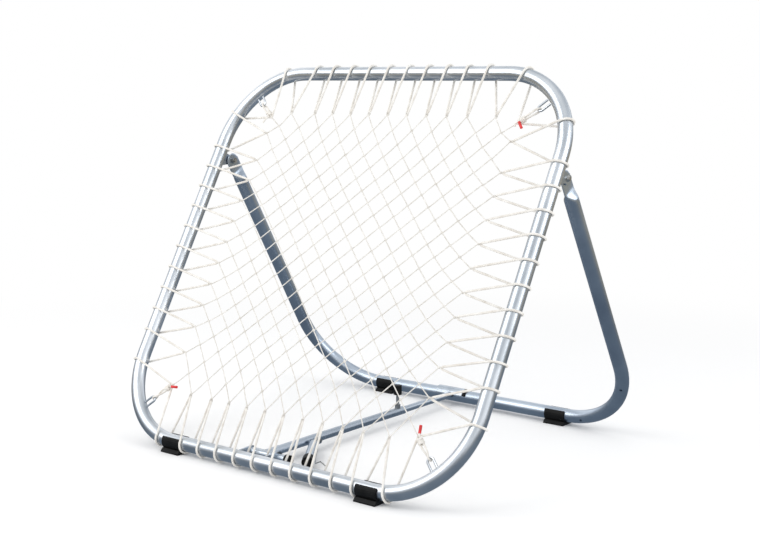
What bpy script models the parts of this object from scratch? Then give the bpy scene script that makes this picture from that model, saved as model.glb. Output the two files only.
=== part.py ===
"""Pitch back rebounder: a square tube frame with a laced net, a folding rear leg and a telescopic strut."""

import math

import bmesh
import bpy
from mathutils import Matrix, Vector

# Driving sizes, in metres.
FRAME_WIDTH = 0.968  # between tube centres
FRAME_LENGTH = 0.9434  # up the slope, between tube centres
FRAME_BEND = 0.1905
FRAME_TILT = math.radians(60.4)
TUBE_DIAMETER = 0.032
TUBE_WALL = 0.0015
FOOT_SOLE = 0.007  # under both bottom rails
RAIL_HEIGHT = TUBE_DIAMETER / 2 + FOOT_SOLE
RAIL_REACH = 0.376  # each rail's distance from the middle
GAP = 0.0003  # between pieces that touch
CORD = 0.005

HINGE_DOWN = 0.2215  # from the top rail, down the slope
HINGE_SPACE = 0.0276  # from the frame tube's back to the hinge pin
HINGE_BACK = TUBE_DIAMETER / 2 + HINGE_SPACE
LEG_INSET = 0.0035  # of each leg tube from the frame's
LEG_BEND = 0.1915
FLAT_THICK = 0.005
FLAT_SPREAD = 0.004
FLAT_HALF_WIDTH = TUBE_DIAMETER / 2 + FLAT_SPREAD
FLAT_END = 0.028  # below the hinge
FLAT_FADE = 0.052
LUG_THICK = 0.004
LUG_EYE = 0.014
BOLT = 0.008
BOLT_CLEAR = 0.0003

FOOT_LENGTH = 0.054
FOOT_WALL = 0.003
FOOT_CLEAR = 0.0005
FOOT_BASE = TUBE_DIAMETER + 0.012
FOOT_GAP = 0.003  # to the cord beside it
FOOT_SHIFT = 0.003  # the right front foot sits this much further out
FOOT_ON_BEND = 0.014

PIVOT_SPACE = 0.0276  # from the rail's back to the strut's pivot
PIVOT_BACK = TUBE_DIAMETER / 2 + PIVOT_SPACE
PIVOT_RISE = 0.003
CHEEK_THICK = 0.004
CHEEK_EYE = 0.0135
CHEEK_LEFT = 0.0048  # beyond the second cord from the middle
CHEEK_RIGHT = 0.0189  # inside the first one
CROSS_DIAMETER = 0.021
CROSS_WALL = 0.002
SPACER_DIAMETER = 0.018
SPACER_LENGTH = 0.022
PIVOT_KNOB_DIAMETER = 0.023
PIVOT_KNOB_LENGTH = 0.011

STRUT_DIAMETER = 0.020
STRUT_WALL = 0.0015
STRUT_LENGTH = 0.496  # of the outer tube, from its pivot
INNER_CLEAR = 0.0005
INNER_DIAMETER = STRUT_DIAMETER - 2 * STRUT_WALL - 2 * INNER_CLEAR
INNER_WALL = 0.0012
INNER_OVERLAP = 0.250
CLAMP_BEFORE_END = 0.024
CLAMP_BOSS = 0.009
CLAMP_RISE = 0.024
CLAMP_KNOB_DIAMETER = 0.020
CLAMP_KNOB_LENGTH = 0.023
SADDLE_LENGTH = 0.082
SADDLE_CLEAR = 0.0008
SADDLE_WALL = 0.0032
LINER_LENGTH = 0.008

LEVER_FROM_PIVOT = 0.1624
LEVER_DIAMETER = 0.020
LEVER_LENGTH = 0.1195
LEVER_TURN = math.radians(35.07)  # from the strut, seen from above
LEVER_DROP = 0.0077
LEVER_CAP_DIAMETER = 0.026
LEVER_CAP_LENGTH = 0.024
LEVER_TAB = 0.003
LEVER_PIN = 0.006
LEVER_WIRE = 0.003

NET_TOP = 0.1034  # from each rail's centre to the net's edge loops
NET_BOTTOM = 0.108
NET_SIDE = 0.1275
NET_MESH = 0.0547
NET_THICK = 0.002
NET_CORNER_IN = 0.129
NET_CORNER_TOP = 0.1206
NET_CORNER_BOTTOM = 0.125
EYE_WIRE = 0.005
EYE_REACH = 0.022
EYE_HALF = 0.007

# Sizes that follow from the ones above.
TUBE_RADIUS = TUBE_DIAMETER / 2
STRAIGHT_U = FRAME_WIDTH / 2 - FRAME_BEND
STRAIGHT_V = FRAME_LENGTH / 2 - FRAME_BEND
FOOT_X = STRAIGHT_U + FOOT_ON_BEND - FOOT_LENGTH / 2
LAST_WRAP = FOOT_X - FOOT_LENGTH / 2 - FOOT_GAP - CORD / 2
WRAP_PITCH = LAST_WRAP / 4.5
WRAP_RADIUS = TUBE_RADIUS + CORD / 2 + 0.0013
HINGE_V = FRAME_LENGTH - HINGE_DOWN
LEG_X = FRAME_WIDTH / 2 - LEG_INSET
LUG_X = LEG_X + FLAT_THICK / 2 + 0.0004 + LUG_THICK / 2
CHEEK_X = (-1.5 * WRAP_PITCH - CHEEK_LEFT, -0.5 * WRAP_PITCH + CHEEK_RIGHT)
STRUT_X = (CHEEK_X[0] + CHEEK_X[1]) / 2
UP_SLOPE = Vector((0, math.cos(FRAME_TILT), math.sin(FRAME_TILT)))
BEHIND = Vector((0, math.sin(FRAME_TILT), -math.cos(FRAME_TILT)))
FRONT_RAIL = Vector((0, -RAIL_REACH, RAIL_HEIGHT))
REAR_RAIL = Vector((0, RAIL_REACH, RAIL_HEIGHT))
HINGE = FRONT_RAIL + HINGE_V * UP_SLOPE + HINGE_BACK * BEHIND
UP_LEG = (HINGE - REAR_RAIL).normalized()
OUT_LEG = Vector((0, UP_LEG.z, -UP_LEG.y))
LEG_LENGTH = (HINGE - REAR_RAIL).length
PIVOT = FRONT_RAIL + Vector((STRUT_X, PIVOT_BACK, PIVOT_RISE))
ACROSS = Vector((1, 0, 0))
UP = Vector((0, 0, 1))
BACK = Vector((0, 1, 0))

for left_over in list(bpy.data.objects):
    bpy.data.objects.remove(left_over, do_unlink=True)
SCENE = bpy.context.scene.collection
PARTS = bpy.data.collections.new("pitch_back_rebounder")
CUTTERS = bpy.data.collections.new("cutters")
SCENE.children.link(PARTS)
SCENE.children.link(CUTTERS)
CUTTERS.hide_render = True


def material(name, colour, metallic, roughness):
    made = bpy.data.materials.new(name)
    made.use_nodes = True
    shader = made.node_tree.nodes["Principled BSDF"]
    shader.inputs["Base Color"].default_value = (*colour, 1)
    shader.inputs["Metallic"].default_value = metallic
    shader.inputs["Roughness"].default_value = roughness
    return made


LOOKS = {
    "zinc": ((0.62, 0.66, 0.70), 1.0, 0.25),
    "slate": ((0.34, 0.38, 0.44), 1.0, 0.35),
    "black": ((0.02, 0.02, 0.022), 0.0, 0.5),
    "cord": ((0.86, 0.84, 0.80), 0.0, 0.85),
    "red": ((0.75, 0.05, 0.05), 0.0, 0.5),
}


def piece(name, made, look):
    """A mesh becomes a named part with a material of its own."""
    mesh = bpy.data.meshes.new(name)
    made.to_mesh(mesh)
    made.free()
    mesh.materials.append(material(name, *LOOKS[look]))
    obj = bpy.data.objects.new(name, mesh)
    PARTS.objects.link(obj)
    return obj


def cutter(name, made):
    mesh = bpy.data.meshes.new(name)
    made.to_mesh(mesh)
    made.free()
    obj = bpy.data.objects.new(name, mesh)
    obj.display_type = "WIRE"
    obj.hide_render = True
    CUTTERS.objects.link(obj)
    return obj


def combine(obj, other, operation):
    step = obj.modifiers.new(other.name, "BOOLEAN")
    step.operation = operation
    step.solver = "EXACT"
    step.object = other
    return obj


def cut(obj, name, made):
    return combine(obj, cutter(name, made), "DIFFERENCE")


def join(obj, name, made):
    return combine(obj, cutter(name, made), "UNION")


def rod(start, end, radius, sides=20):
    """A closed cylinder between two points."""
    made = bmesh.new()
    along = end - start
    place = Matrix.Translation((start + end) / 2) @ along.to_track_quat("Z", "Y").to_matrix().to_4x4()
    bmesh.ops.create_cone(
        made, cap_ends=True, segments=sides, radius1=radius, radius2=radius, depth=along.length, matrix=place
    )
    return made


def cone(start, end, radius_start, radius_end, sides=20):
    made = bmesh.new()
    along = end - start
    place = Matrix.Translation((start + end) / 2) @ along.to_track_quat("Z", "Y").to_matrix().to_4x4()
    bmesh.ops.create_cone(
        made, cap_ends=True, segments=sides, radius1=radius_start, radius2=radius_end, depth=along.length, matrix=place
    )
    return made


def prism(outline, offset):
    """An outline of 3-D points in one plane, pushed out by the offset."""
    made = bmesh.new()
    face = made.faces.new([made.verts.new(point) for point in outline])
    pushed = bmesh.ops.extrude_face_region(made, geom=[face])
    bmesh.ops.translate(made, vec=offset, verts=[v for v in pushed["geom"] if isinstance(v, bmesh.types.BMVert)])
    bmesh.ops.recalc_face_normals(made, faces=made.faces)
    return made


def sweep(points, radius, sides=20, closed=False):
    """A round bar along the points, from a bevelled curve."""
    curve = bpy.data.curves.new("path", "CURVE")
    curve.dimensions = "3D"
    curve.bevel_depth = radius
    curve.bevel_resolution = sides // 2 - 2
    curve.use_fill_caps = not closed
    spline = curve.splines.new("POLY")
    spline.points.add(len(points) - 1)
    for dot, point in zip(spline.points, points):
        dot.co = (*point, 1)
    spline.use_cyclic_u = closed
    holder = bpy.data.objects.new("path", curve)
    CUTTERS.objects.link(holder)
    graph = bpy.context.evaluated_depsgraph_get()
    mesh = bpy.data.meshes.new_from_object(holder.evaluated_get(graph))
    made = bmesh.new()
    made.from_mesh(mesh)
    bmesh.ops.remove_doubles(made, verts=made.verts, dist=0.00002)
    bmesh.ops.recalc_face_normals(made, faces=made.faces)
    bpy.data.objects.remove(holder, do_unlink=True)
    bpy.data.curves.remove(curve)
    bpy.data.meshes.remove(mesh)
    return made


def in_frame(u, v, n=0.0):
    """A point of the front frame: across, up the slope and behind its plane."""
    return FRONT_RAIL + Vector((u, 0, 0)) + v * UP_SLOPE + n * BEHIND


def on_leg(x, w, m=0.0):
    """A point of the rear leg: across, up the leg from its rail and outwards."""
    return REAR_RAIL + Vector((x, 0, 0)) + w * UP_LEG + m * OUT_LEG


def arc(centre, radius, start, end, steps):
    turns = [math.radians(start + (end - start) * i / steps) for i in range(steps + 1)]
    return [(centre[0] + radius * math.cos(a), centre[1] + radius * math.sin(a)) for a in turns]


def frame_loop():
    left, right = -STRAIGHT_U, STRAIGHT_U
    low, high = FRAME_BEND, FRAME_LENGTH - FRAME_BEND
    flat = arc((right, low), FRAME_BEND, -90, 0, 8) + arc((right, high), FRAME_BEND, 0, 90, 8)
    flat += arc((left, high), FRAME_BEND, 90, 180, 8) + arc((left, low), FRAME_BEND, 180, 270, 8)
    return [in_frame(u, v) for u, v in flat]


def frame_tube():
    tube = piece("front_frame_tube", sweep(frame_loop(), TUBE_RADIUS, closed=True), "zinc")
    cut(tube, "frame_bore", sweep(frame_loop(), TUBE_RADIUS - TUBE_WALL, closed=True))
    hole = FRONT_RAIL + Vector((WRAP_PITCH * 2, 0, 0))
    cut(tube, "frame_drain", rod(hole - UP * TUBE_DIAMETER, hole - UP * TUBE_RADIUS * 0.5, 0.003, 12))


def leg_path(top):
    side = LEG_X - LEG_BEND
    flat = arc((-side, LEG_BEND), LEG_BEND, 180, 270, 8) + arc((side, LEG_BEND), LEG_BEND, 270, 360, 8)
    heights = [h for h in top if h > LEG_BEND + 0.01]
    left = [on_leg(-LEG_X, h) for h in heights]
    right = [on_leg(LEG_X, h) for h in reversed(heights)]
    return left + [on_leg(x, w) for x, w in flat] + right


def flatten(made):
    """The leg's two ends are pressed flat, with rounded tips."""
    for vert in made.verts:
        height = (vert.co - REAR_RAIL).dot(UP_LEG)
        below = LEG_LENGTH - height
        if below >= FLAT_FADE:
            continue
        share = min((FLAT_FADE - below) / (FLAT_FADE - FLAT_END), 1)
        out = (vert.co - REAR_RAIL).dot(OUT_LEG)
        centre = math.copysign(LEG_X, vert.co.x)
        thin = 1 + (FLAT_THICK / 2 / TUBE_RADIUS - 1) * share
        wide = FLAT_HALF_WIDTH
        if below < 0:
            wide = math.sqrt(max((FLAT_HALF_WIDTH - 0.002) ** 2 - below**2, 0.00003))
        spread = 1 + (wide / TUBE_RADIUS - 1) * share
        vert.co.x = centre + (vert.co.x - centre) * thin
        vert.co += OUT_LEG * out * (spread - 1)


def leg_tube():
    tops = [0.016, 0.012, 0.006, 0, -FLAT_END, -(FLAT_END + FLAT_FADE) / 2, -FLAT_FADE]
    outer = sweep(leg_path([LEG_LENGTH + t for t in tops]), TUBE_RADIUS)
    flatten(outer)
    tube = piece("rear_leg_tube", outer, "slate")
    bore = sweep(leg_path([LEG_LENGTH - FLAT_FADE - 0.001]), TUBE_RADIUS - TUBE_WALL)
    cut(tube, "leg_bore", bore)
    hole = on_leg(LEG_X, LEG_BEND * 0.69)
    cut(tube, "leg_drain", rod(hole, hole - OUT_LEG * TUBE_DIAMETER - ACROSS * 0.004, 0.003, 12))
    for side in (-1, 1):
        middle = HINGE + ACROSS * side * LEG_X
        reach = ACROSS * FLAT_THICK * 2
        cut(tube, f"leg_hole_{side}", rod(middle - reach, middle + reach, BOLT / 2 + BOLT_CLEAR))


def hinge(side, name):
    middle = HINGE_V
    foot = TUBE_RADIUS - 0.004
    eye = arc((middle, HINGE_BACK), LUG_EYE, 40, 200, 10)
    flat = [(middle - 0.031, foot), (middle + 0.007, foot)] + eye
    inner = LUG_X - LUG_THICK / 2
    outline = [in_frame(side * inner, v, n) for v, n in flat]
    lug = piece(f"hinge_lug_{name}", prism(outline, ACROSS * side * LUG_THICK), "slate")
    edge = side * FRAME_WIDTH / 2
    low, high = in_frame(edge, middle - 0.1), in_frame(edge, middle + 0.08)
    cut(lug, f"lug_seat_{name}", rod(low, high, TUBE_RADIUS + GAP + 0.0001, 40))
    pin = HINGE + ACROSS * side * LUG_X
    reach = ACROSS * LUG_THICK * 2
    cut(lug, f"lug_hole_{name}", rod(pin - reach, pin + reach, BOLT / 2 + BOLT_CLEAR))
    outer = side * (LUG_X + LUG_THICK / 2 + GAP)
    nut_out = side * (LEG_X - FLAT_THICK / 2 - GAP)
    bolt = piece(
        f"hinge_bolt_{name}",
        rod(HINGE + ACROSS * (nut_out - side * 0.009), HINGE + ACROSS * (outer + side * 0.001), BOLT / 2),
        "slate",
    )
    join(
        bolt,
        f"bolt_head_{name}",
        cone(HINGE + ACROSS * outer, HINGE + ACROSS * (outer + side * 0.005), BOLT * 0.9, BOLT * 0.55),
    )
    nut = piece(
        f"hinge_nut_{name}",
        rod(HINGE + ACROSS * nut_out, HINGE + ACROSS * (nut_out - side * 0.0065), BOLT * 0.94, 6),
        "slate",
    )
    reach = ACROSS * side
    cut(
        nut,
        f"nut_hole_{name}",
        rod(HINGE + ACROSS * nut_out + reach * 0.01, HINGE + ACROSS * nut_out - reach * 0.02, BOLT / 2 + BOLT_CLEAR),
    )


def foot(name, x, rail, along):
    """A clip-on saddle foot: a shell open at the top, on a flared base, bored to the bar it holds."""
    low = Vector((x - FOOT_LENGTH / 2, rail.y, rail.z))
    high = low + ACROSS * FOOT_LENGTH
    bore = TUBE_RADIUS + FOOT_CLEAR
    outer = bore + FOOT_WALL
    made = piece(name, rod(low, high, outer, 24), "black")
    half = FOOT_BASE / 2
    base = [(-half, 0), (half, 0), (half, 0.003), (half * 0.72, 0.009), (-half * 0.72, 0.009), (-half, 0.003)]
    outline = [Vector((low.x - 0.0005, rail.y + y, z)) for y, z in base]
    join(made, f"{name}_base", prism(outline, ACROSS * (FOOT_LENGTH + 0.001)))
    cut(made, f"{name}_bore", along(bore))
    mouth = [(0, 0), (0.05, 0.045), (-0.05, 0.045)]
    outline = [Vector((low.x - 0.01, rail.y + y, rail.z + z)) for y, z in mouth]
    cut(made, f"{name}_mouth", prism(outline, ACROSS * (FOOT_LENGTH + 0.02)))


def front_bore(radius):
    return sweep(frame_loop(), radius, 32, closed=True)


def rear_bore(radius):
    return sweep(leg_path([LEG_LENGTH / 2]), radius, 32)


SIDES = {
    "top": (STRAIGHT_U, FRAME_LENGTH / 2, NET_TOP, lambda t, o: (t, FRAME_LENGTH / 2 + o)),
    "bottom": (STRAIGHT_U, FRAME_LENGTH / 2, NET_BOTTOM, lambda t, o: (t, FRAME_LENGTH / 2 - o)),
    "right": (STRAIGHT_V, FRAME_WIDTH / 2, NET_SIDE, lambda t, o: (o, FRAME_LENGTH / 2 + t)),
    "left": (STRAIGHT_V, FRAME_WIDTH / 2, NET_SIDE, lambda t, o: (-o, FRAME_LENGTH / 2 + t)),
}


def wrap_places(side):
    """Where the cord goes round the rail, from the rail's middle."""
    if side in ("left", "right"):
        below = HINGE_V - 0.0428 - FRAME_LENGTH / 2
        low = -STRAIGHT_V + 0.0534
        inner = [low + (below - low) * i / 8 for i in range(9)] + [HINGE_V + 0.0119 - FRAME_LENGTH / 2]
        return [-STRAIGHT_V - 0.022] + inner + [STRAIGHT_V + 0.073]
    inner = [WRAP_PITCH * (i - 4.5) for i in range(10)]
    far = STRAIGHT_U + (0.050 if side == "top" else FOOT_ON_BEND + FOOT_SHIFT + 0.016)
    return [-far] + inner + [far]


def tips(side):
    """The net's edge loops along a side, each between two turns of the cord."""
    return [NET_MESH * (i - 5) for i in range(11)]


def corner_tip(right, top):
    u = FRAME_WIDTH / 2 - NET_CORNER_IN
    v = FRAME_LENGTH - NET_CORNER_TOP if top else NET_CORNER_BOTTOM
    return (u if right else -u, v)


def rail_at(side, along):
    """The rail's centre there, and the way outwards, in the side's own axes."""
    straight, edge = SIDES[side][:2]
    over = abs(along) - straight
    if over <= 0:
        return (along, edge), (0, 1)
    turn = math.asin(min(over / FRAME_BEND, 0.95))
    sign = math.copysign(1, along)
    return (along, edge - FRAME_BEND * (1 - math.cos(turn))), (sign * math.sin(turn), math.cos(turn))


def lacing(side):
    edge, depth, place = SIDES[side][1:]
    places = wrap_places(side)
    loops = tips(side)
    loops = [t if abs(t) < places[-2] else None for t in loops]
    path = []
    for number, along in enumerate(places):
        centre, outward = rail_at(side, along)
        turns = [-82, -115, -148, -180, -212, -245, -278]
        for step, angle in enumerate(turns):
            slide = (step / 3 - 1) * 0.0018
            inward = -math.cos(math.radians(angle)) * WRAP_RADIUS
            behind = math.sin(math.radians(angle)) * WRAP_RADIUS
            t = centre[0] + outward[0] * inward + slide
            o = centre[1] + outward[1] * inward
            path.append(in_frame(*place(t, o), behind))
        if number < len(places) - 1:
            loop = (places[number] + places[number + 1]) / 2
            path.append(in_frame(*place(loop, edge - depth)))
    ends = []
    for sign in (-1, 1):
        u, v = place(sign, 1)
        corner = corner_tip(u > 0, v > FRAME_LENGTH / 2)
        wrap = places[0] if sign < 0 else places[-1]
        target = place(wrap, edge)
        away = Vector((target[0] - corner[0], target[1] - corner[1])).normalized() * (CORD * 1.6)
        ends.append(in_frame(corner[0] + away.x, corner[1] + away.y))
    piece(f"lacing_{side}", sweep([ends[0]] + path + [ends[1]], CORD / 2, 6), "cord")


def net():
    """A thin sheet with the net's outline stands for its meshes."""
    flat = []
    order = (("bottom", 1), ("right", 1), ("top", -1), ("left", -1))
    corners = {"bottom": (False, False), "right": (True, False), "top": (True, True), "left": (False, True)}
    for side, way in order:
        edge, depth, place = SIDES[side][1:]
        places = wrap_places(side)
        middles = [(a + b) / 2 for a, b in zip(places, places[1:])]
        middles = middles[::way]
        u, v = corner_tip(*corners[side])
        inward = Vector((-u, FRAME_LENGTH / 2 - v)).normalized() * (CORD * 0.9)
        flat.append((u + inward.x, v + inward.y))
        for number, middle in enumerate(middles):
            if number:
                between = (middle + middles[number - 1]) / 2
                flat.append(place(between, edge - depth - NET_MESH))
            flat.append(place(middle, edge - depth - CORD / 2 - GAP))
    outline = [in_frame(u, v, -NET_THICK / 2) for u, v in flat]
    piece("net", prism(outline, BEHIND * NET_THICK), "cord")


def corner_eye(name, right, top):
    """A wire staple inside the bend, the cord that ties the net to it and a sleeve on the cord's tail."""
    su, sv = (1 if right else -1), (1 if top else -1)
    bend = Vector((su * STRAIGHT_U, FRAME_LENGTH / 2 + sv * STRAIGHT_V))
    way = Vector((su, sv)).normalized()
    side = Vector((-way.y, way.x))
    base = FRAME_BEND - TUBE_RADIUS - GAP * 1.5
    lift = base - EYE_HALF**2 / base
    flat = [bend + way * (lift - 0.0006) + side * EYE_HALF, bend + way * (lift - EYE_REACH) + side * EYE_HALF]
    for turn in (30, 60, 90, 120, 150):
        a = math.radians(turn)
        flat.append(bend + way * (lift - EYE_REACH - EYE_HALF * math.sin(a)) + side * EYE_HALF * math.cos(a))
    flat.append(bend + way * (lift - EYE_REACH) - side * EYE_HALF)
    flat.append(bend + way * (lift - 0.0006) - side * EYE_HALF)
    eye = piece(f"corner_eye_{name}", sweep([in_frame(p.x, p.y) for p in flat], EYE_WIRE / 2, 10), "zinc")
    round_bend = [in_frame(*(bend + Vector((math.cos(a), math.sin(a))) * FRAME_BEND)) for a in
                  [math.atan2(way.y, way.x) + math.radians(d) for d in (-24, -12, 0, 12, 24)]]
    cut(eye, f"eye_seat_{name}", sweep(round_bend, TUBE_RADIUS + GAP, 24))
    tip = Vector(corner_tip(right, top))
    loop = bend + way * (lift - EYE_REACH - EYE_HALF)
    along = (loop - tip).normalized()
    apart = Vector((-along.y, along.x)) * CORD * 0.62
    around = EYE_WIRE / 2 + CORD / 2 + 0.0008
    start = tip + along * CORD * 2.2
    path = [in_frame(*(start + apart), 0), in_frame(*(loop - along * 0.008 + apart * 0.6), -around * 0.5)]
    path += [in_frame(*loop, -around), in_frame(*(loop + along * around * 0.75), -around * 0.7)]
    path += [in_frame(*(loop + along * around), 0), in_frame(*(loop + along * around * 0.75), around * 0.7)]
    path += [in_frame(*loop, around), in_frame(*(loop - along * 0.008 - apart * 0.6), around * 0.5)]
    path.append(in_frame(*(start - apart), 0))
    piece(f"corner_tie_{name}", sweep(path, CORD / 2, 6), "cord")
    if name == "top_left":
        return
    lean = {"top_right": (0.6, -0.8), "bottom_left": (1, 0.1), "bottom_right": (-0.2, 1)}[name]
    reach = Vector(lean).normalized()
    first = in_frame(*start, -CORD * 1.18)
    last = first + in_frame(*(reach * 0.016)) - in_frame(0, 0)
    piece(f"tie_sleeve_{name}", rod(first, last, CORD * 0.7, 12), "red")


def bracket():
    for side, name in zip(CHEEK_X, ("left", "right")):
        eye = arc((PIVOT_BACK, PIVOT_RISE), CHEEK_EYE, -100, 100, 12)
        flat = [(0, -0.011)] + eye + [(0, 0.0145)]
        outline = [FRONT_RAIL + Vector((side - CHEEK_THICK / 2, y, z)) for y, z in flat]
        cheek = piece(f"bracket_cheek_{name}", prism(outline, ACROSS * CHEEK_THICK), "zinc")
        centre = FRONT_RAIL + ACROSS * side
        reach = ACROSS * CHEEK_THICK * 2
        cut(cheek, f"cheek_seat_{name}", rod(centre - reach, centre + reach, TUBE_RADIUS + GAP + 0.0001, 40))
        centre = Vector((side, PIVOT.y, PIVOT.z))
        cut(cheek, f"cheek_hole_{name}", rod(centre - reach, centre + reach, BOLT / 2 + BOLT_CLEAR))
    left = Vector((CHEEK_X[0] - CHEEK_THICK / 2 - GAP, PIVOT.y, PIVOT.z))
    right = Vector((CHEEK_X[1] + CHEEK_THICK / 2 + GAP, PIVOT.y, PIVOT.z))
    knob = right + ACROSS * (SPACER_LENGTH + GAP)
    bolt = piece("pivot_bolt", rod(left - ACROSS * 0.001, knob + ACROSS * PIVOT_KNOB_LENGTH * 0.7, BOLT / 2), "zinc")
    join(bolt, "pivot_head", cone(left - ACROSS * 0.005, left, BOLT * 0.6, BOLT * 0.9))
    spacer = piece("pivot_spacer", rod(right, right + ACROSS * SPACER_LENGTH, SPACER_DIAMETER / 2), "zinc")
    reach = ACROSS * 0.01
    cut(spacer, "spacer_hole", rod(right - reach, knob + reach, BOLT / 2 + BOLT_CLEAR))
    turned = piece(
        "pivot_knob", rod(knob, knob + ACROSS * PIVOT_KNOB_LENGTH, PIVOT_KNOB_DIAMETER / 2, 24), "black"
    )
    deep = knob + ACROSS * (PIVOT_KNOB_LENGTH * 0.7 + 0.0006)
    cut(turned, "knob_hole", rod(knob - reach, deep, BOLT / 2 + BOLT_CLEAR))
    inside = CHEEK_X[0] + CHEEK_THICK / 2 + GAP
    outside = CHEEK_X[1] - CHEEK_THICK / 2 - GAP
    first, last = Vector((inside, PIVOT.y, PIVOT.z)), Vector((outside, PIVOT.y, PIVOT.z))
    cross = piece("strut_cross_tube", rod(first, last, CROSS_DIAMETER / 2, 24), "zinc")
    cut(cross, "cross_bore", rod(first - reach, last + reach, CROSS_DIAMETER / 2 - CROSS_WALL))


def strut():
    end = PIVOT + BACK * STRUT_LENGTH
    outer = piece("strut_outer_tube", rod(PIVOT, end, STRUT_DIAMETER / 2, 24), "zinc")
    bore = STRUT_DIAMETER / 2 - STRUT_WALL
    cut(outer, "strut_bore", rod(PIVOT - BACK * 0.01, end + BACK * 0.01, bore, 24))
    reach = ACROSS * 0.05
    cut(outer, "strut_seat", rod(PIVOT - reach, PIVOT + reach, CROSS_DIAMETER / 2 + GAP, 32))
    clamp = end - BACK * CLAMP_BEFORE_END
    low = clamp + UP * (INNER_DIAMETER / 2 + GAP)
    top = clamp + UP * (STRUT_DIAMETER / 2)
    hole = BOLT / 2 + BOLT_CLEAR
    cut(outer, "clamp_hole", rod(clamp, top + UP * 0.01, hole))
    boss = piece("clamp_boss", rod(clamp + UP * 0.004, top + UP * CLAMP_BOSS, BOLT * 0.85, 6), "zinc")
    cut(boss, "boss_seat", rod(clamp - BACK * 0.02, clamp + BACK * 0.02, STRUT_DIAMETER / 2 + GAP, 32))
    cut(boss, "boss_hole", rod(clamp, top + UP * 0.03, hole))
    knob = top + UP * (CLAMP_BOSS + CLAMP_RISE)
    piece("clamp_screw", rod(low, knob + UP * CLAMP_KNOB_LENGTH * 0.7, BOLT / 2, 16), "zinc")
    handle = piece("clamp_knob", rod(knob, knob + UP * CLAMP_KNOB_LENGTH, CLAMP_KNOB_DIAMETER / 2, 16), "black")
    cut(handle, "handle_hole", rod(knob - UP * 0.01, knob + UP * (CLAMP_KNOB_LENGTH * 0.7 + 0.0006), hole))
    saddle_outer = TUBE_RADIUS + SADDLE_CLEAR + SADDLE_WALL
    rear = Vector((STRUT_X, RAIL_REACH - math.sqrt(saddle_outer**2 - (PIVOT.z - RAIL_HEIGHT) ** 2), PIVOT.z))
    rear = Vector((STRUT_X, RAIL_REACH, PIVOT.z))
    start = end - BACK * INNER_OVERLAP
    inner = piece("strut_inner_tube", rod(start, rear, INNER_DIAMETER / 2, 20), "zinc")
    cut(inner, "inner_bore", rod(start - BACK * 0.01, rear, INNER_DIAMETER / 2 - INNER_WALL, 20))
    rail = REAR_RAIL + ACROSS * STRUT_X
    cut(inner, "inner_seat", rod(rail - reach, rail + reach, saddle_outer + GAP, 48))
    shell("rear_saddle", SADDLE_LENGTH, -SADDLE_LENGTH / 2, TUBE_RADIUS + SADDLE_CLEAR, saddle_outer, "zinc")
    shell("saddle_liner", LINER_LENGTH, SADDLE_LENGTH / 2 + GAP, TUBE_RADIUS + SADDLE_CLEAR, saddle_outer, "black")


def shell(name, length, start, bore, outer, look):
    """Part of a tube over the rear rail, open below."""
    low = REAR_RAIL + ACROSS * (STRUT_X - 0.004 + start)
    high = low + ACROSS * length
    made = piece(name, rod(low, high, outer, 36), look)
    cut(made, f"{name}_bore", rod(low - ACROSS * 0.01, high + ACROSS * 0.01, bore, 36))
    mouth = [(0, 0)] + arc((0, 0), 0.08, 165, 338, 6)
    outline = [low + Vector((-0.01, y, z)) for y, z in mouth]
    cut(made, f"{name}_mouth", prism(outline, ACROSS * (length + 0.02)))


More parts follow.
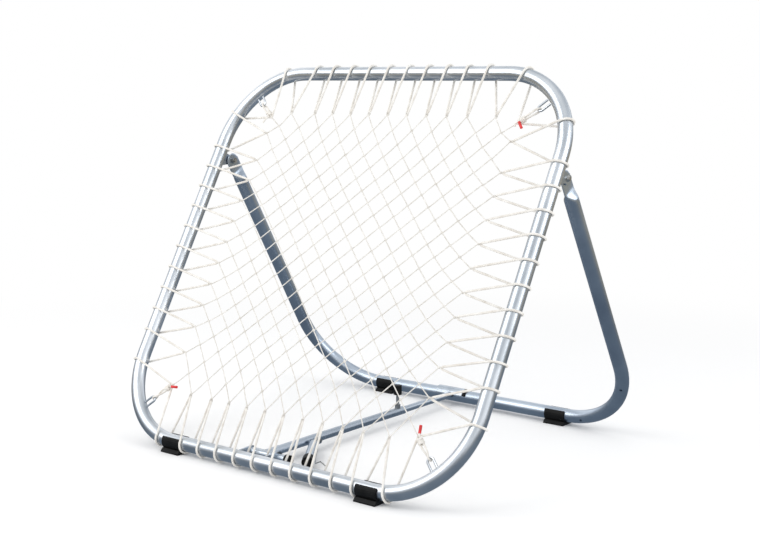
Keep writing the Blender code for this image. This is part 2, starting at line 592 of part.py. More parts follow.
def lever():
    """The foot lever beside the strut, on a tab that turns on a lug."""
    beside = STRUT_X + STRUT_DIAMETER / 2
    pin = Vector((0, PIVOT.y + LEVER_FROM_PIVOT, PIVOT.z - 0.0015))
    lug_low = beside - 0.0015
    corners = [(-0.011, -0.008), (0.011, -0.008), (0.011, 0.008), (-0.011, 0.008)]
    outline = [Vector((lug_low, pin.y + y, pin.z + z)) for y, z in corners]
    lug = piece("lever_lug", prism(outline, ACROSS * 0.0048), "zinc")
    near, far = PIVOT + BACK * 0.05, PIVOT + BACK * 0.3
    cut(lug, "lug_side", rod(near, far, STRUT_DIAMETER / 2 + GAP, 32))
    tab_x = lug_low + 0.0048 + GAP
    corners = [(-0.036, -0.009), (-0.034, -0.010), (0.006, -0.008), (0.0095, -0.004), (0.0095, 0.004)]
    corners += [(0.006, 0.008), (-0.034, 0.009), (-0.036, 0.008)]
    outline = [Vector((tab_x, pin.y + y, pin.z + z)) for y, z in corners]
    tube = piece("lever_tube", prism(outline, ACROSS * LEVER_TAB), "zinc")
    way = Vector((math.sin(LEVER_TURN), -math.cos(LEVER_TURN), 0))
    corner = LEVER_DIAMETER / 2 * math.cos(LEVER_TURN)
    start = Vector((tab_x + 0.001 + corner, pin.y - 0.0277, pin.z - 0.0008))
    end = start + way * LEVER_LENGTH - UP * LEVER_DROP
    along = (end - start).normalized()
    join(tube, "lever_bar", rod(start, end - along * LEVER_CAP_LENGTH * 0.25, LEVER_DIAMETER / 2, 20))
    cap = piece("lever_cap", rod(end - along * LEVER_CAP_LENGTH, end, LEVER_CAP_DIAMETER / 2, 24), "black")
    low = end - along * (LEVER_CAP_LENGTH + 0.01)
    high = end - along * (LEVER_CAP_LENGTH * 0.25 - GAP)
    cut(cap, "cap_bore", rod(low, high, LEVER_DIAMETER / 2 + GAP, 24))
    hole = LEVER_PIN / 2 + BOLT_CLEAR
    wide = ACROSS * 0.02
    cut(lug, "lug_pin_hole", rod(pin + ACROSS * lug_low - wide, pin + ACROSS * lug_low + wide, hole, 16))
    cut(tube, "tab_pin_hole", rod(pin + ACROSS * (tab_x - 0.01), pin + ACROSS * (tab_x + 0.01), hole, 16))
    axle_end = pin + ACROSS * (tab_x + LEVER_TAB + GAP)
    axle = piece("lever_pin", rod(pin + ACROSS * (beside + GAP * 2), axle_end + ACROSS * 0.001, LEVER_PIN / 2, 16), "zinc")
    join(axle, "pin_head", rod(axle_end, axle_end + ACROSS * 0.003, LEVER_PIN * 0.8, 16))
    out = Vector((math.cos(LEVER_TURN), math.sin(LEVER_TURN), 0))
    off = LEVER_DIAMETER / 2 + LEVER_WIRE / 2 + GAP
    wide = LEVER_CAP_DIAMETER / 2 + LEVER_WIRE / 2 + 0.003
    path = [start + way * 0.022 + out * off, start + way * 0.06 + out * (off + 0.002) - UP * 0.004]
    path += [end + out * wide + way * 0.004, end + out * (wide + 0.010) - way * 0.010]
    path += [end + out * (wide + 0.026) + way * 0.024 - UP * 0.001]
    piece("lever_wire", sweep(path, LEVER_WIRE / 2, 8), "zinc")


frame_tube()
leg_tube()
hinge(-1, "left")
hinge(1, "right")
foot("front_foot_left", -FOOT_X, FRONT_RAIL, front_bore)
foot("front_foot_right", FOOT_X + FOOT_SHIFT, FRONT_RAIL, front_bore)
REAR_FOOT_X = LEG_X - LEG_BEND - FOOT_LENGTH / 2 + 0.001
foot("rear_foot_left", -REAR_FOOT_X, REAR_RAIL, rear_bore)
foot("rear_foot_right", REAR_FOOT_X, REAR_RAIL, rear_bore)
for side_name in SIDES:
    lacing(side_name)
net()
corner_eye("top_left", False, True)
corner_eye("top_right", True, True)
corner_eye("bottom_left", False, False)
corner_eye("bottom_right", True, False)
bracket()
strut()
lever()
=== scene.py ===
import math
import random

import bpy
from mathutils import Matrix, Vector


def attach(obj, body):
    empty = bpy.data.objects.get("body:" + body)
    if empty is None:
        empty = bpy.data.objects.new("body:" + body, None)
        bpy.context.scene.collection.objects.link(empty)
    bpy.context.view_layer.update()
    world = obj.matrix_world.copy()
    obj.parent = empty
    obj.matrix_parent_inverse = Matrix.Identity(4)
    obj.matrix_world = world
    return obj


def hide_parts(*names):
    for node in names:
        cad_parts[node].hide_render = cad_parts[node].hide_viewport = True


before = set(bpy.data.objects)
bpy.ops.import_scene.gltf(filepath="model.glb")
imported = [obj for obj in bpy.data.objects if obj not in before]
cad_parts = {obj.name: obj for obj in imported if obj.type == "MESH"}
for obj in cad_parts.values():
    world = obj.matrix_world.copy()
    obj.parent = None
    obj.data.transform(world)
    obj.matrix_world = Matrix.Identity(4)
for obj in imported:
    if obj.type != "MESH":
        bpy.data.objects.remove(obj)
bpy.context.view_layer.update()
print("CAD loaded")

# Main sizes, as on the steel frame
frameSize = {"width": 0.968, "length": 0.9434, "bend": 0.1905, "tilt": 60.4, "tube": 0.032,
             "railHeight": 0.023, "railReach": 0.376}
halfWidth = frameSize["width"] / 2
halfLength = frameSize["length"] / 2
straightU = halfWidth - frameSize["bend"]
straightV = halfLength - frameSize["bend"]
tubeRadius = frameSize["tube"] / 2
tilt = math.radians(frameSize["tilt"])
upSlope = Vector((0, math.cos(tilt), math.sin(tilt)))
behind = Vector((0, math.sin(tilt), -math.cos(tilt)))
frontRail = Vector((0, -frameSize["railReach"], frameSize["railHeight"]))
rearRail = Vector((0, frameSize["railReach"], frameSize["railHeight"]))
hinge = frontRail + 0.7219 * upSlope + 0.0436 * behind
upLeg = (hinge - rearRail).normalized()
outLeg = Vector((0, upLeg.z, -upLeg.y))
legLength = (hinge - rearRail).length


def inFrame(u, v, n=0.0):
    return frontRail + Vector((u, 0, 0)) + v * upSlope + n * behind


def onLeg(x, w, m=0.0):
    return rearRail + Vector((x, 0, 0)) + w * upLeg + m * outLeg


# ---- materials: every one is built from noise in the object's own coordinates
looks = {
    "zincBright": {"dark": (0.53, 0.57, 0.61), "light": (0.79, 0.82, 0.86), "metal": 1.0, "rough": (0.27, 0.34),
                   "shine": 0.5, "scale": 9, "stretch": (1, 1, 1), "bump": 0.008, "grain": 900, "weave": 0},
    "zincStrut": {"dark": (0.42, 0.47, 0.53), "light": (0.65, 0.71, 0.78), "metal": 1.0, "rough": (0.24, 0.31),
                  "shine": 0.5, "scale": 14, "stretch": (1, 0.2, 1), "bump": 0.008, "grain": 900, "weave": 0},
    # painted shade: the leg's zinc is a darker, bluer copy of the frame's zinc, standing in for the darker floor and
    # horizon the leg reflects
    "zincLegPaintedShade": {"dark": (0.40, 0.46, 0.54), "light": (0.58, 0.65, 0.73), "metal": 1.0, "rough": (0.27, 0.34),
                "shine": 0.5, "scale": 9, "stretch": (1, 1, 1), "bump": 0.008, "grain": 900, "weave": 0},
    "boltSteel": {"dark": (0.36, 0.35, 0.33), "light": (0.66, 0.66, 0.64), "metal": 1.0, "rough": (0.25, 0.45),
                  "shine": 0.5, "scale": 60, "stretch": (1, 1, 1), "bump": 0.05, "grain": 700, "weave": 0},
    "blackPlastic": {"dark": (0.004, 0.004, 0.004), "light": (0.010, 0.010, 0.010), "metal": 0.0,
                     "rough": (0.42, 0.60), "shine": 0.16, "scale": 40, "stretch": (1, 1, 1), "bump": 0.10,
                     "grain": 1500, "weave": 0},
    "laceCord": {"dark": (0.74, 0.70, 0.64), "light": (0.90, 0.88, 0.84), "metal": 0.0, "rough": (0.7, 0.9),
                 "shine": 0.3, "scale": 60, "stretch": (1, 1, 1), "bump": 0.5, "grain": 1200, "weave": 130},
    "netCord": {"dark": (0.66, 0.63, 0.58), "light": (0.86, 0.84, 0.80), "metal": 0.0, "rough": (0.75, 0.95),
                "shine": 0.3, "scale": 80, "stretch": (1, 1, 1), "bump": 0.5, "grain": 1500, "weave": 200},
    "redSleeve": {"dark": (0.55, 0.02, 0.02), "light": (0.80, 0.05, 0.05), "metal": 0.0, "rough": (0.3, 0.5),
                  "shine": 0.4, "scale": 90, "stretch": (1, 1, 1), "bump": 0.1, "grain": 900, "weave": 0},
}


def addMaterial(name, look):
    mat = bpy.data.materials.new(name)
    mat.use_nodes = True
    nodes, links = mat.node_tree.nodes, mat.node_tree.links
    shader = nodes["Principled BSDF"]
    shader.inputs["Metallic"].default_value = look["metal"]
    shader.inputs["Specular IOR Level"].default_value = look["shine"]
    coords = nodes.new("ShaderNodeTexCoord")
    mapping = nodes.new("ShaderNodeMapping")
    mapping.inputs["Scale"].default_value = look["stretch"]
    links.new(coords.outputs["Object"], mapping.inputs["Vector"])
    patches = nodes.new("ShaderNodeTexNoise")
    patches.inputs["Scale"].default_value = look["scale"]
    patches.inputs["Detail"].default_value = 5
    links.new(mapping.outputs["Vector"], patches.inputs["Vector"])
    ramp = nodes.new("ShaderNodeValToRGB")
    ramp.color_ramp.elements[0].position = 0.32
    ramp.color_ramp.elements[1].position = 0.68
    ramp.color_ramp.elements[0].color = (*look["dark"], 1)
    ramp.color_ramp.elements[1].color = (*look["light"], 1)
    links.new(patches.outputs["Fac"], ramp.inputs["Fac"])
    links.new(ramp.outputs["Color"], shader.inputs["Base Color"])
    rough = nodes.new("ShaderNodeMapRange")
    rough.inputs["To Min"].default_value = look["rough"][0]
    rough.inputs["To Max"].default_value = look["rough"][1]
    grain = nodes.new("ShaderNodeTexNoise")
    grain.inputs["Scale"].default_value = look["grain"]
    grain.inputs["Detail"].default_value = 3
    links.new(coords.outputs["Object"], grain.inputs["Vector"])
    links.new(grain.outputs["Fac"], rough.inputs["Value"])
    links.new(rough.outputs["Result"], shader.inputs["Roughness"])
    bump = nodes.new("ShaderNodeBump")
    bump.inputs["Strength"].default_value = look["bump"]
    bump.inputs["Distance"].default_value = 0.0006
    height = grain.outputs["Fac"]
    if look["weave"]:
        crossed = nodes.new("ShaderNodeMath")
        crossed.operation = "MULTIPLY"
        for number, direction in enumerate(("DIAGONAL", "X")):
            strands = nodes.new("ShaderNodeTexWave")
            strands.bands_direction = direction
            strands.inputs["Scale"].default_value = look["weave"] * (1 + number * 0.4)
            strands.inputs["Distortion"].default_value = 1.5
            links.new(coords.outputs["Object"], strands.inputs["Vector"])
            links.new(strands.outputs["Fac"], crossed.inputs[number])
        height = crossed.outputs["Value"]
    links.new(height, bump.inputs["Height"])
    links.new(bump.outputs["Normal"], shader.inputs["Normal"])
    return mat


materials = {name: addMaterial(name, look) for name, look in looks.items()}
print("materials made")


def finishPiece(obj, name, look, body, stands):
    obj.name = name
    obj.data.name = name
    obj.data.materials.clear()
    obj.data.materials.append(materials[look])
    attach(obj, body)
    if stands:
        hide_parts(*stands)
    return obj


def makeCord(paths, radius, resolution, cyclic=False):
    bpy.ops.object.select_all(action="DESELECT")
    bpy.ops.curve.primitive_bezier_curve_add(location=(0, 0, 0))
    obj = bpy.context.object
    curve = obj.data
    curve.splines.clear()
    curve.dimensions = "3D"
    curve.bevel_depth = radius
    curve.bevel_resolution = resolution
    curve.use_fill_caps = not cyclic
    for path in paths:
        spline = curve.splines.new("POLY")
        spline.points.add(len(path) - 1)
        for dot, point in zip(spline.points, path):
            dot.co = (*point, 1)
        spline.use_cyclic_u = cyclic
    bpy.ops.object.convert(target="MESH")
    obj = bpy.context.object
    bpy.ops.object.shade_smooth_by_angle(angle=math.radians(50))
    return obj


def joinAll(objs):
    bpy.ops.object.select_all(action="DESELECT")
    for obj in objs:
        obj.select_set(True)
    bpy.context.view_layer.objects.active = objs[0]
    bpy.ops.object.join()
    return bpy.context.object


def smoothPath(points, each=4):
    # Catmull-Rom through the points
    made = []
    for k in range(len(points) - 1):
        a = points[max(k - 1, 0)]
        b, c = points[k], points[k + 1]
        d = points[min(k + 2, len(points) - 1)]
        for step in range(each):
            t = step / each
            made.append(0.5 * ((2 * b) + (c - a) * t + (2 * a - 5 * b + 4 * c - d) * t * t
                               + (3 * b - a - 3 * c + d) * t ** 3))
    return made + [points[-1]]


def bendArc(centre, radius, start, end, steps):
    turns = [math.radians(start + (end - start) * k / steps) for k in range(steps + 1)]
    return [(centre[0] + radius * math.cos(a), centre[1] + radius * math.sin(a)) for a in turns]


# ---- front frame tube
tubeLook = {"bendSteps": 24, "sides": 14}
low, high = frameSize["bend"], frameSize["length"] - frameSize["bend"]
loop = []
for centre, start in (((straightU, low), -90), ((straightU, high), 0), ((-straightU, high), 90),
                      ((-straightU, low), 180)):
    loop += bendArc(centre, frameSize["bend"], start, start + 90, tubeLook["bendSteps"])
frameTube = makeCord([[inFrame(u, v) for u, v in loop]], tubeRadius, tubeLook["sides"], cyclic=True)
finishPiece(frameTube, "frameTube", "zincBright", "front_frame", ["front_frame_tube"])
print("frame tube made")

# ---- rear leg tube, its ends pressed flat
legLook = {"x": 0.4805, "bend": 0.1915, "flatThick": 0.005, "flatHalf": 0.020, "flatEnd": 0.028,
           "flatFade": 0.052, "hole": 0.0032}
legSide = legLook["x"] - legLook["bend"]
flatPath = bendArc((-legSide, legLook["bend"]), legLook["bend"], 180, 270, 24)
flatPath += bendArc((legSide, legLook["bend"]), legLook["bend"], 270, 360, 24)
topSteps = [0.016, 0.0145, 0.012, 0.009, 0.006, 0.003, 0, -0.014, -0.028, -0.032, -0.036, -0.040, -0.044,
            -0.048, -0.052, -0.06]
heights = [legLength + t for t in topSteps]
legPath = [onLeg(-legLook["x"], h) for h in heights] + [onLeg(x, w) for x, w in flatPath]
legPath += [onLeg(legLook["x"], h) for h in reversed(heights)]
legTube = makeCord([legPath], tubeRadius, 14)
for vert in legTube.data.vertices:
    below = legLength - (vert.co - rearRail).dot(upLeg)
    if below >= legLook["flatFade"]:
        continue
    share = min((legLook["flatFade"] - below) / (legLook["flatFade"] - legLook["flatEnd"]), 1)
    share = share * share * (3 - 2 * share)
    out = (vert.co - rearRail).dot(outLeg)
    centreX = math.copysign(legLook["x"], vert.co.x)
    wide = legLook["flatHalf"]
    if below < 0:
        wide = math.sqrt(max((wide - 0.002) ** 2 - below ** 2, 0.00003))
    vert.co.x = centreX + (vert.co.x - centreX) * (1 + (legLook["flatThick"] / 2 / tubeRadius - 1) * share)
    vert.co += outLeg * out * (wide / tubeRadius - 1) * share
holes = [(onLeg(0.4750, 0.1314, -0.014), -outLeg), (onLeg(0.3376, 0.0079, -0.014), -outLeg)]
for place, way in holes:
    bpy.ops.object.select_all(action="DESELECT")
    bpy.ops.mesh.primitive_cylinder_add(vertices=24, radius=legLook["hole"], depth=0.012, location=place,
                                        rotation=way.to_track_quat("Z", "Y").to_euler())
    drill = bpy.context.object
    bpy.ops.object.select_all(action="DESELECT")
    bpy.context.view_layer.objects.active = legTube
    legTube.select_set(True)
    step = legTube.modifiers.new("hole", "BOOLEAN")
    step.operation = "DIFFERENCE"
    step.solver = "EXACT"
    step.object = drill
    bpy.ops.object.modifier_apply(modifier="hole")
    bpy.data.objects.remove(drill)
bpy.ops.object.shade_smooth_by_angle(angle=math.radians(40))
finishPiece(legTube, "legTube", "zincLegPaintedShade", "rear_leg", ["rear_leg_tube"])
print("leg made")

# ---- the elastic cord laced round each side
laceLook = {"radius": 0.0025, "lift": 0.0031, "slant": 0.0018, "netTop": 0.1034, "netBottom": 0.108,
            "netSide": 0.1275, "mesh": 0.0547, "sides": 4}
footX = straightU + 0.014 - 0.027
wrapPitch = (footX - 0.027 - 0.003 - 0.0025) / 4.5
sides = {
    "top": (straightU, halfLength, laceLook["netTop"], lambda t, o: (t, halfLength + o)),
    "bottom": (straightU, halfLength, laceLook["netBottom"], lambda t, o: (t, halfLength - o)),
    "right": (straightV, halfWidth, laceLook["netSide"], lambda t, o: (o, halfLength + t)),
    "left": (straightV, halfWidth, laceLook["netSide"], lambda t, o: (-o, halfLength + t)),
}


def wrapPlaces(side):
    if side in ("left", "right"):
        below = 0.7219 - 0.0428 - halfLength
        first = -straightV + 0.0534
        inner = [first + (below - first) * k / 8 for k in range(9)] + [0.7219 + 0.0119 - halfLength]
        return [-straightV - 0.022] + inner + [straightV + 0.073]
    far = straightU + (0.050 if side == "top" else 0.033)
    return [-far] + [wrapPitch * (k - 4.5) for k in range(10)] + [far]


def cornerTip(right, top):
    u = halfWidth - 0.129
    return (u if right else -u, frameSize["length"] - 0.1206 if top else 0.125)


def railAt(side, along):
    straight, edge = sides[side][:2]
    over = abs(along) - straight
    if over <= 0:
        return (along, edge), (0, 1)
    turn = math.asin(min(over / frameSize["bend"], 0.95))
    sign = math.copysign(1, along)
    return (along, edge - frameSize["bend"] * (1 - math.cos(turn))), (sign * math.sin(turn), math.cos(turn))


def laceSide(side):
    edge, depth, place = sides[side][1:]
    places = wrapPlaces(side)
    radius = tubeRadius + laceLook["lift"]
    path = []
    for number, along in enumerate(places):
        centre, outward = railAt(side, along)
        for step in range(13):
            angle = math.radians(-82 - 196 * step / 12)
            inward = -math.cos(angle) * radius
            t = centre[0] + outward[0] * inward + (step / 6 - 1) * laceLook["slant"]
            o = centre[1] + outward[1] * inward
            path.append(inFrame(*place(t, o), math.sin(angle) * radius))
        if number < len(places) - 1:
            tip = (along + places[number + 1]) / 2
            for shift, back in ((-0.0030, 0.0010), (-0.0014, 0.0005), (0, 0), (0.0014, -0.0005), (0.0030, -0.0010)):
                inset = abs(shift) * 1.9
                path.append(inFrame(*place(tip + shift, edge - depth + inset), back))
    ends = []
    for sign in (-1, 1):
        u, v = place(sign, 1)
        corner = cornerTip(u > 0, v > halfLength)
        target = place(places[0] if sign < 0 else places[-1], edge)
        away = Vector((target[0] - corner[0], target[1] - corner[1])).normalized() * 0.002
        ends.append(inFrame(corner[0] + away.x, corner[1] + away.y))
    return [ends[0]] + path + [ends[1]]


for side in sides:
    lace = makeCord([laceSide(side)], laceLook["radius"], laceLook["sides"])
    finishPiece(lace, "lace" + side.capitalize(), "laceCord", "front_frame", ["lacing_" + side])
print("lacing made")

# ---- knotted net, set on its corners
netLook = {"cells": 24, "cord": 0.0013, "knot": 0.0030, "left": -0.306, "right": 0.309, "low": 0.1665,
           "high": 0.785, "jitter": 0.0010, "seed": 7}
random.seed(netLook["seed"])
cells = netLook["cells"]


def netPoint(i, j):
    # lattice point to its place in the frame plane
    across = netLook["left"] + (netLook["right"] - netLook["left"]) * (i - 1) / (cells - 2)
    up = netLook["low"] + (netLook["high"] - netLook["low"]) * (j - 1) / (cells - 2)
    atEdgeU, atEdgeV = i in (0, cells), j in (0, cells)
    if atEdgeU and atEdgeV:
        return cornerTip(i == cells, j == cells)
    if atEdgeU:
        side = "right" if i else "left"
        number = j
    elif atEdgeV:
        side = "top" if j else "bottom"
        number = i
    else:
        return across + random.uniform(-1, 1) * netLook["jitter"], up + random.uniform(-1, 1) * netLook["jitter"]
    edge, depth, place = sides[side][1:]
    places = wrapPlaces(side)
    along = (places[number // 2 - 1] + places[number // 2]) / 2
    return place(along, edge - depth - 0.0045)


lattice = {}
for i in range(cells + 1):
    for j in range(cells + 1):
        if (i + j) % 2 == 0:
            lattice[i, j] = netPoint(i, j)
for turn in range(6):  # the net pulls itself even
    for (i, j), (u, v) in list(lattice.items()):
        if 0 < i < cells and 0 < j < cells:
            near = [lattice[i + a, j + b] for a in (-1, 1) for b in (-1, 1)]
            meanU = sum(p[0] for p in near) / 4
            meanV = sum(p[1] for p in near) / 4
            lattice[i, j] = (u * 0.6 + meanU * 0.4, v * 0.6 + meanV * 0.4)
bars = []
for (i, j), (u, v) in lattice.items():
    for a, b in ((1, 1), (1, -1)):
        if (i + a, j + b) not in lattice:
            continue
        u2, v2 = lattice[i + a, j + b]
        side = 0.0008 if b > 0 else -0.0008
        first, last = Vector(inFrame(u, v, side)), Vector(inFrame(u2, v2, -side))
        sag = random.uniform(-0.0004, 0.0012)
        middle = (first + last) / 2 + behind * sag
        bars.append([first, first * 0.75 + last * 0.25 + behind * sag * 0.7, middle,
                     first * 0.25 + last * 0.75 + behind * sag * 0.7, last])
netBars = makeCord(bars, netLook["cord"], 1)
bpy.ops.object.select_all(action="DESELECT")
bpy.ops.mesh.primitive_ico_sphere_add(subdivisions=2, radius=netLook["knot"], location=(0, 0, 0))
seedKnot = bpy.context.object
bpy.ops.object.shade_smooth()
knots = []
for (i, j), (u, v) in lattice.items():
    knot = seedKnot.copy()
    knot.data = seedKnot.data.copy()
    bpy.context.scene.collection.objects.link(knot)
    lean = random.uniform(-0.5, 0.5)
    shape = Matrix.Diagonal((1.15, 0.8, 0.95, 1))
    knot.data.transform(Matrix.Translation(inFrame(u, v)) @ Matrix.Rotation(lean, 4, behind) @ shape)
    knots.append(knot)
bpy.data.objects.remove(seedKnot)
loops = []
for (i, j), (u, v) in lattice.items():
    if i in (0, cells) or j in (0, cells):
        out = Vector((0, 0))
        if i in (0, cells):
            out.x = 1 if i else -1
        if j in (0, cells):
            out.y = 1 if j else -1
        out.normalize()
        ring = []
        for step in range(9):
            a = 2 * math.pi * step / 8
            reach = 0.0045 - 0.0045 * math.cos(a)
            ring.append(inFrame(u + out.x * reach, v + out.y * reach, 0.0040 * math.sin(a)))
        loops.append(ring)
loopCords = makeCord(loops, netLook["cord"], 1)
net = joinAll([netBars, loopCords] + knots)
finishPiece(net, "netting", "netCord", "front_frame", ["net"])
print("net made")

# ---- corner ties: cord from each wire eye to the net's corner, its knot, tails and red sleeves
tieLook = {"cord": 0.0022, "eyeReach": 0.022, "eyeHalf": 0.007, "sleeve": 0.0031, "sleeveLength": 0.017}
corners = {"top_left": (-1, 1, None), "top_right": (1, 1, (0.6, -0.8)), "bottom_left": (-1, -1, (1, 0.1)),
           "bottom_right": (1, -1, (-0.2, 1))}
for corner, (su, sv, lean) in corners.items():
    bend = Vector((su * straightU, halfLength + sv * straightV))
    way = Vector((su, sv)).normalized()
    base = frameSize["bend"] - tubeRadius - 0.0005
    eyeEnd = bend + way * (base - tieLook["eyeReach"] - tieLook["eyeHalf"])
    tip = Vector(cornerTip(su > 0, sv > 0))
    along = (eyeEnd - tip).normalized()
    apart = Vector((-along.y, along.x)) * 0.0028
    start = tip + along * 0.006
    strands = []
    for turn in (1, -1):
        pts = [inFrame(*(start + apart * turn)), inFrame(*(start * 0.5 + eyeEnd * 0.5 + apart * turn * 1.3), -0.001)]
        pts += [inFrame(*(eyeEnd - along * 0.006 + apart * turn * 0.7), -0.004 * turn)]
        pts += [inFrame(*eyeEnd, -0.0052 * turn), inFrame(*(eyeEnd + along * 0.0045), -0.0026 * turn)]
        pts += [inFrame(*(eyeEnd + along * 0.0055), 0)]
        strands.append(smoothPath(pts, 5))
    coil = []
    for step in range(57):  # the turns of the knot round both strands
        a = 2 * math.pi * step / 14
        centre = start + along * (0.002 + 0.0028 * step / 14)
        coil.append(inFrame(*(centre + apart.normalized() * 0.0050 * math.cos(a)), 0.0050 * math.sin(a)))
    strands.append(coil)
    tailWay = Vector(lean or (0.5 * su, -sv)).normalized()
    tailStart = start + apart * 1.2
    firstTail = [inFrame(*tailStart, -0.004), inFrame(*(tailStart + tailWay * 0.010), -0.0065),
                 inFrame(*(tailStart + tailWay * 0.022), -0.0060)]
    otherWay = Vector((tailWay.y, -tailWay.x))
    secondTail = [inFrame(*(start - apart), -0.004), inFrame(*(start - apart + otherWay * 0.008), -0.0070),
                  inFrame(*(start - apart + otherWay * 0.012 + tailWay * 0.006), -0.0065)]
    strands += [smoothPath(firstTail, 5), smoothPath(secondTail, 5)]
    tie = makeCord(strands, tieLook["cord"], 4)
    words = corner.split("_")
    label = words[0].capitalize() + words[1].capitalize()
    finishPiece(tie, "tie" + label, "laceCord", "front_frame", ["corner_tie_" + corner])
    if lean:
        first, last = Vector(firstTail[1]), Vector(firstTail[2])
        ahead = (last - first).normalized()
        middle = first + ahead * 0.006
        half = tieLook["sleeveLength"] / 2
        profile = [middle - ahead * half, middle - ahead * half * 0.9, middle, middle + ahead * half * 0.9,
                   middle + ahead * half]
        sleeve = makeCord([profile], tieLook["sleeve"], 6)
        finishPiece(sleeve, "sleeve" + label, "redSleeve", "front_frame", ["tie_sleeve_" + corner])
print("corner ties made")

# ---- the steel and plastic hardware keeps its CAD shape
hardware = {"corner_eye": "zincBright", "hinge_lug": "zincLegPaintedShade", "hinge_bolt": "boltSteel", "hinge_nut": "boltSteel",
            "bracket_cheek": "zincStrut", "pivot_bolt": "boltSteel", "pivot_spacer": "zincStrut",
            "pivot_knob": "blackPlastic", "strut_": "zincStrut", "clamp_boss": "boltSteel",
            "clamp_screw": "boltSteel", "clamp_knob": "blackPlastic", "rear_saddle": "zincStrut",
            "saddle_liner": "blackPlastic", "lever_lug": "zincStrut", "lever_pin": "boltSteel",
            "lever_tube": "zincStrut", "lever_wire": "boltSteel", "lever_cap": "blackPlastic",
            "front_foot": "blackPlastic", "rear_foot": "blackPlastic"}
for name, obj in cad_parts.items():
    for start, look in hardware.items():
        if name.startswith(start) and not obj.hide_render:
            obj.data.materials.clear()
            obj.data.materials.append(materials[look])
            bpy.ops.object.select_all(action="DESELECT")
            obj.select_set(True)
            bpy.context.view_layer.objects.active = obj
            bpy.ops.object.shade_smooth_by_angle(angle=math.radians(32))
print("hardware finished")

# ---- floor that turns to plain white further out; to glossy rays it glows instead with a painted reflection, dark slate near and warm olive further out
floorLook = {"size": 40, "colour": (0.94, 0.94, 0.94), "fadeStart": 0.9, "fadeEnd": 2.4,
             "nearMirror": (0.17, 0.21, 0.26), "farMirror": (0.40, 0.36, 0.28),
             "mirrorStart": 1.2, "mirrorEnd": 4.0}
bpy.ops.object.select_all(action="DESELECT")
bpy.ops.mesh.primitive_plane_add(size=floorLook["size"], location=(0, 0, 0))
floor = bpy.context.object
floor.name = "floor"
floorMat = bpy.data.materials.new("floor")
floorMat.use_nodes = True
nodes, links = floorMat.node_tree.nodes, floorMat.node_tree.links
nodes.clear()
output = nodes.new("ShaderNodeOutputMaterial")
diffuse = nodes.new("ShaderNodeBsdfDiffuse")
diffuse.inputs["Color"].default_value = (*floorLook["colour"], 1)
plain = nodes.new("ShaderNodeEmission")
plain.inputs["Color"].default_value = (1, 1, 1, 1)
# painted reflection: this glow is seen only in the metal's reflections, dark slate near the frame and warm olive
# further out
paintedReflection = nodes.new("ShaderNodeEmission")
coords = nodes.new("ShaderNodeTexCoord")
length = nodes.new("ShaderNodeVectorMath")
length.operation = "LENGTH"
links.new(coords.outputs["Object"], length.inputs[0])
fade = nodes.new("ShaderNodeMapRange")
fade.interpolation_type = "SMOOTHSTEP"
fade.inputs["From Min"].default_value = floorLook["fadeStart"]
fade.inputs["From Max"].default_value = floorLook["fadeEnd"]
links.new(length.outputs["Value"], fade.inputs["Value"])
mirror = nodes.new("ShaderNodeMapRange")
mirror.inputs["From Min"].default_value = floorLook["mirrorStart"]
mirror.inputs["From Max"].default_value = floorLook["mirrorEnd"]
links.new(length.outputs["Value"], mirror.inputs["Value"])
tint = nodes.new("ShaderNodeValToRGB")
tint.color_ramp.elements[0].color = (*floorLook["nearMirror"], 1)
tint.color_ramp.elements[1].color = (*floorLook["farMirror"], 1)
links.new(mirror.outputs["Result"], tint.inputs["Fac"])
links.new(tint.outputs["Color"], paintedReflection.inputs["Color"])
farMix = nodes.new("ShaderNodeMixShader")
links.new(fade.outputs["Result"], farMix.inputs["Fac"])
links.new(diffuse.outputs["BSDF"], farMix.inputs[1])
links.new(plain.outputs["Emission"], farMix.inputs[2])
rays = nodes.new("ShaderNodeLightPath")
glossMix = nodes.new("ShaderNodeMixShader")
links.new(rays.outputs["Is Glossy Ray"], glossMix.inputs["Fac"])
links.new(farMix.outputs["Shader"], glossMix.inputs[1])
links.new(paintedReflection.outputs["Emission"], glossMix.inputs[2])
links.new(glossMix.outputs["Shader"], output.inputs["Surface"])
floor.data.materials.append(floorMat)

# ---- surroundings: white to the camera, banded sky and dark horizon to the metal
skyLook = {"strength": 0.95, "bands": [(0.0, (0.16, 0.14, 0.10)), (0.42, (0.22, 0.19, 0.14)),
                                       (0.52, (0.30, 0.32, 0.35)), (0.62, (0.66, 0.71, 0.78)),
                                       (0.72, (1.3, 1.3, 1.3)), (0.84, (0.56, 0.60, 0.65)), (1.0, (1.1, 1.1, 1.1))]}
world = bpy.data.worlds.new("studio")
bpy.context.scene.world = world
world.use_nodes = True
nodes, links = world.node_tree.nodes, world.node_tree.links
nodes.clear()
output = nodes.new("ShaderNodeOutputWorld")
white = nodes.new("ShaderNodeBackground")
white.inputs["Color"].default_value = (1, 1, 1, 1)
soft = nodes.new("ShaderNodeBackground")
soft.inputs["Color"].default_value = (0.91, 0.915, 0.925, 1)
soft.inputs["Strength"].default_value = skyLook["strength"]
sky = nodes.new("ShaderNodeBackground")
coords = nodes.new("ShaderNodeTexCoord")
split = nodes.new("ShaderNodeSeparateXYZ")
links.new(coords.outputs["Generated"], split.inputs["Vector"])
clouds = nodes.new("ShaderNodeTexNoise")
clouds.inputs["Scale"].default_value = 1.7
links.new(coords.outputs["Generated"], clouds.inputs["Vector"])
level = nodes.new("ShaderNodeMath")
level.operation = "MULTIPLY_ADD"
level.inputs[1].default_value = 0.5
level.inputs[2].default_value = 0.28
links.new(split.outputs["Z"], level.inputs[0])
total = nodes.new("ShaderNodeMath")
total.operation = "MULTIPLY_ADD"
total.inputs[1].default_value = 0.44
links.new(clouds.outputs["Fac"], total.inputs[0])
links.new(level.outputs["Value"], total.inputs[2])
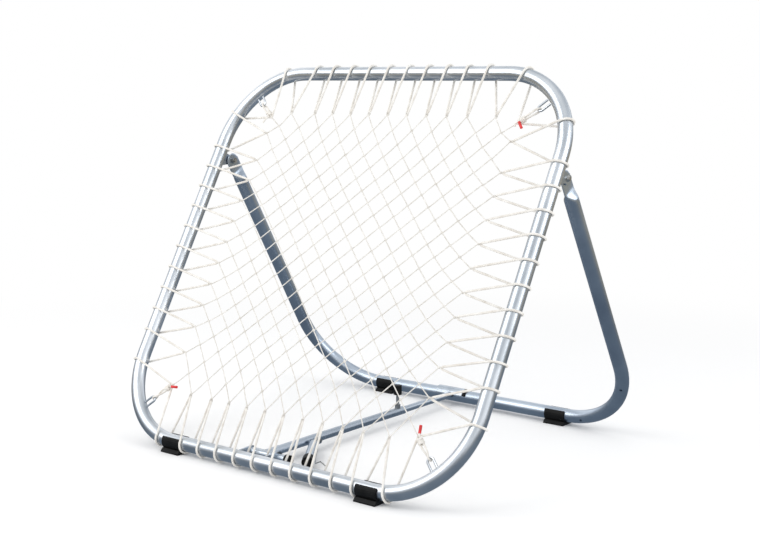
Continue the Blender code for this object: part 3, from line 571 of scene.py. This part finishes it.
ramp = nodes.new("ShaderNodeValToRGB")
bands = ramp.color_ramp.elements
while len(bands) < len(skyLook["bands"]):
    bands.new(0.5)
for element, (place, colour) in zip(bands, skyLook["bands"]):
    element.position = place
    element.color = (*colour, 1)
links.new(total.outputs["Value"], ramp.inputs["Fac"])
links.new(ramp.outputs["Color"], sky.inputs["Color"])
rays = nodes.new("ShaderNodeLightPath")
glossMix = nodes.new("ShaderNodeMixShader")
links.new(rays.outputs["Is Glossy Ray"], glossMix.inputs["Fac"])
links.new(soft.outputs["Background"], glossMix.inputs[1])
links.new(sky.outputs["Background"], glossMix.inputs[2])
cameraMix = nodes.new("ShaderNodeMixShader")
links.new(rays.outputs["Is Camera Ray"], cameraMix.inputs["Fac"])
links.new(glossMix.outputs["Shader"], cameraMix.inputs[1])
links.new(white.outputs["Background"], cameraMix.inputs[2])
links.new(cameraMix.outputs["Shader"], output.inputs["Surface"])

lights = {"key": {"place": (-1.4, -2.2, 2.6), "size": 2.4, "power": 40, "colour": (1, 0.99, 0.97)},
          "side": {"place": (2.6, 0.4, 1.8), "size": 1.6, "power": 18, "colour": (0.96, 0.98, 1)}}
for name, light in lights.items():
    bpy.ops.object.light_add(type="AREA", location=light["place"])
    lamp = bpy.context.object
    lamp.name = name + "Light"
    lamp.data.size = light["size"]
    lamp.data.energy = light["power"]
    lamp.data.color = light["colour"]
    lamp.rotation_euler = (Vector(light["place"]) - Vector((0, 0, 0.35))).to_track_quat("Z", "Y").to_euler()
print("lights and floor set")

# ---- camera
cameraLook = {"place": (1.8545, -2.3183, 0.8326), "azimuth": 38.54, "elevation": 8.79, "lens": 61.76}
bpy.ops.object.camera_add(location=cameraLook["place"])
camera = bpy.context.object
turn, rise = math.radians(cameraLook["azimuth"]), math.radians(cameraLook["elevation"])
camera.rotation_euler = (math.pi / 2 - rise, 0, turn)
camera.data.sensor_width = 36
camera.data.lens = cameraLook["lens"]
bpy.context.scene.camera = camera
bpy.context.scene.view_settings.view_transform = "Standard"
